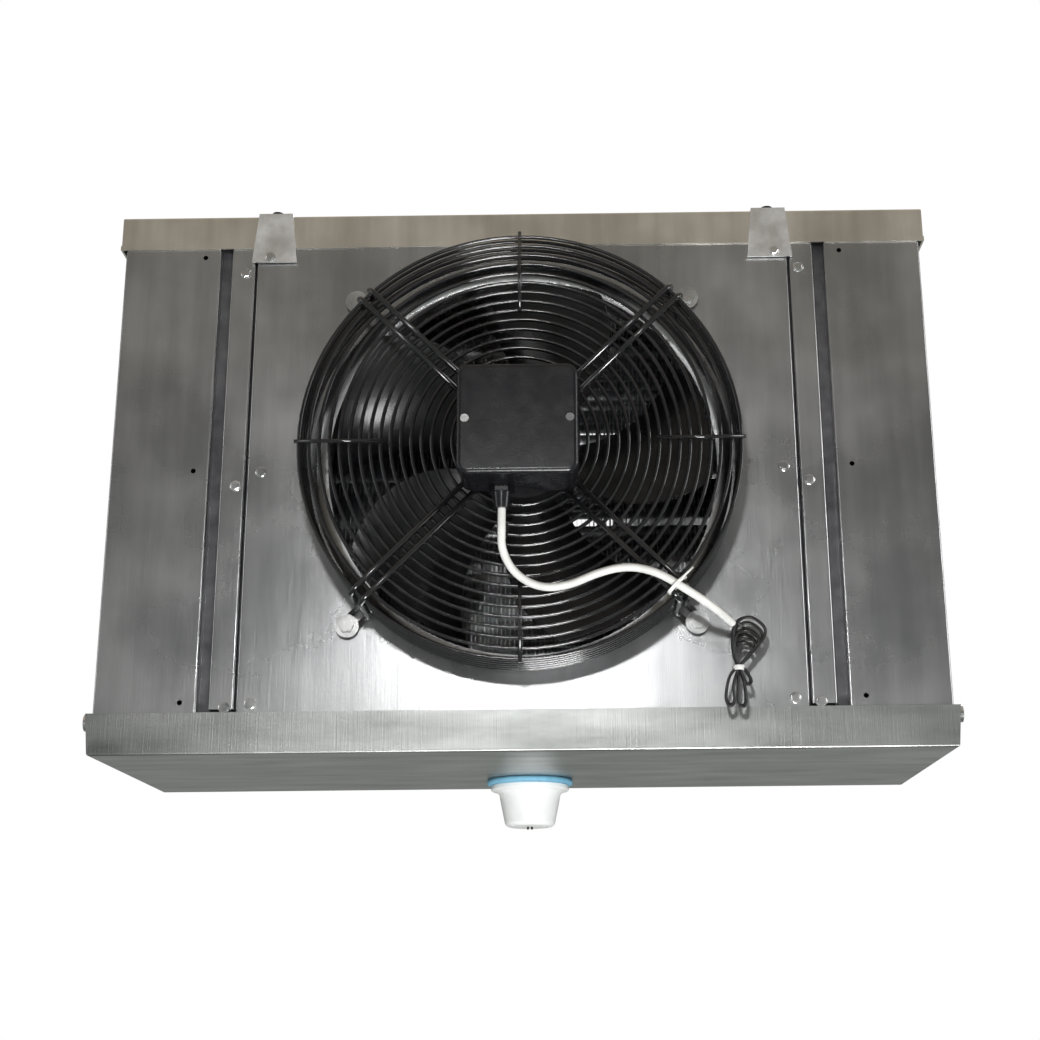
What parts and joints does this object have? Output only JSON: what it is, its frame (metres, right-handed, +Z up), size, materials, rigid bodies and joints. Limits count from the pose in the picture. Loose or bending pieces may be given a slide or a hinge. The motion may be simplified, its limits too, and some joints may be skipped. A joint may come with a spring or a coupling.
{
  "type": "walk-in unit cooler",
  "caption": "Ceiling-hung evaporator in an aluminium case, with a guarded fan, a finned coil and a drain pan that swings down.",
  "frame": {"origin": "centre of the four hanger slots, on the plane of the hanger brackets' top faces, where the unit hangs from the ceiling rods", "axes": "+Z up; -Y towards the fan side, where the air comes out; +X to the right of someone facing the fan"},
  "size_m": [0.8878, 0.4885, 0.6506],
  "materials": {
    "aluminium_sheet": "mill finish, scratched",
    "galvanised_steel": "bright galvanised",
    "black_steel": "black",
    "aluminium_fins": "plain fin stock",
    "copper": null,
    "brass": "turned brass",
    "zinc_steel": "zinc plated",
    "blue_rubber": "soft, light blue",
    "white_plastic": "white moulded",
    "black_wire": "black coated wire",
    "black_motor": "satin black",
    "steel": "ground",
    "black_blades": "satin black",
    "black_plastic": "satin black moulded",
    "white_pvc": "soft white sheath",
    "black_pvc": "soft black insulation",
    "white_nylon": "nylon"
  },
  "bodies": {
    "root": {"roof_panel": "aluminium_sheet", "end_cover_left": "aluminium_sheet", "end_cover_right": "aluminium_sheet", "fan_plate": "aluminium_sheet", "seam_strip_left": "aluminium_sheet", "seam_strip_right": "aluminium_sheet", "tube_sheet_left": "aluminium_sheet", "tube_sheet_right": "aluminium_sheet", "hanger_brackets": "galvanised_steel", "hanger_bolts": "black_steel", "fin_pack": "aluminium_fins", "coil_tubes": "copper", "return_bends_left": "copper", "return_bends_right": "copper", "suction_header": "copper", "distributor": "brass", "capillaries": "copper", "pan_pivots": "zinc_steel", "guard_rings": "black_wire", "guard_side_rings": "black_wire", "guard_arms": "black_wire", "guard_spokes": "black_wire", "guard_washers": "zinc_steel", "guard_bolts": "zinc_steel", "motor_stator": "black_motor", "motor_bearings": "steel", "terminal_box_base": "black_plastic", "terminal_box_lid": "black_plastic", "terminal_lid_screws": "zinc_steel", "cable_gland": "black_plastic", "fan_lead": "white_pvc", "conductor_hank": "black_pvc", "lead_tie": "white_nylon", "hank_tie": "white_nylon", "seam_screws": "zinc_steel"},
    "fan": {"impeller": "black_blades", "rotor_can": "black_motor", "motor_shaft": "steel"},
    "pan": {"drain_pan": "aluminium_sheet", "drain_gasket": "blue_rubber", "drain_fitting": "white_plastic", "drain_nut": "white_plastic", "pan_screws": "zinc_steel"}
  },
  "joints": [
    {"name": "fan_spin", "type": "hinge", "parent": "root", "child": "fan", "pos_m": [0, -0.137, -0.285], "axis": [0, -1, 0], "continuous": true},
    {"name": "pan_drop", "type": "hinge", "parent": "root", "child": "pan", "pos_m": [0, 0.1475, -0.556], "axis": [1, 0, 0], "range_deg": [0, 55]}
  ]
}
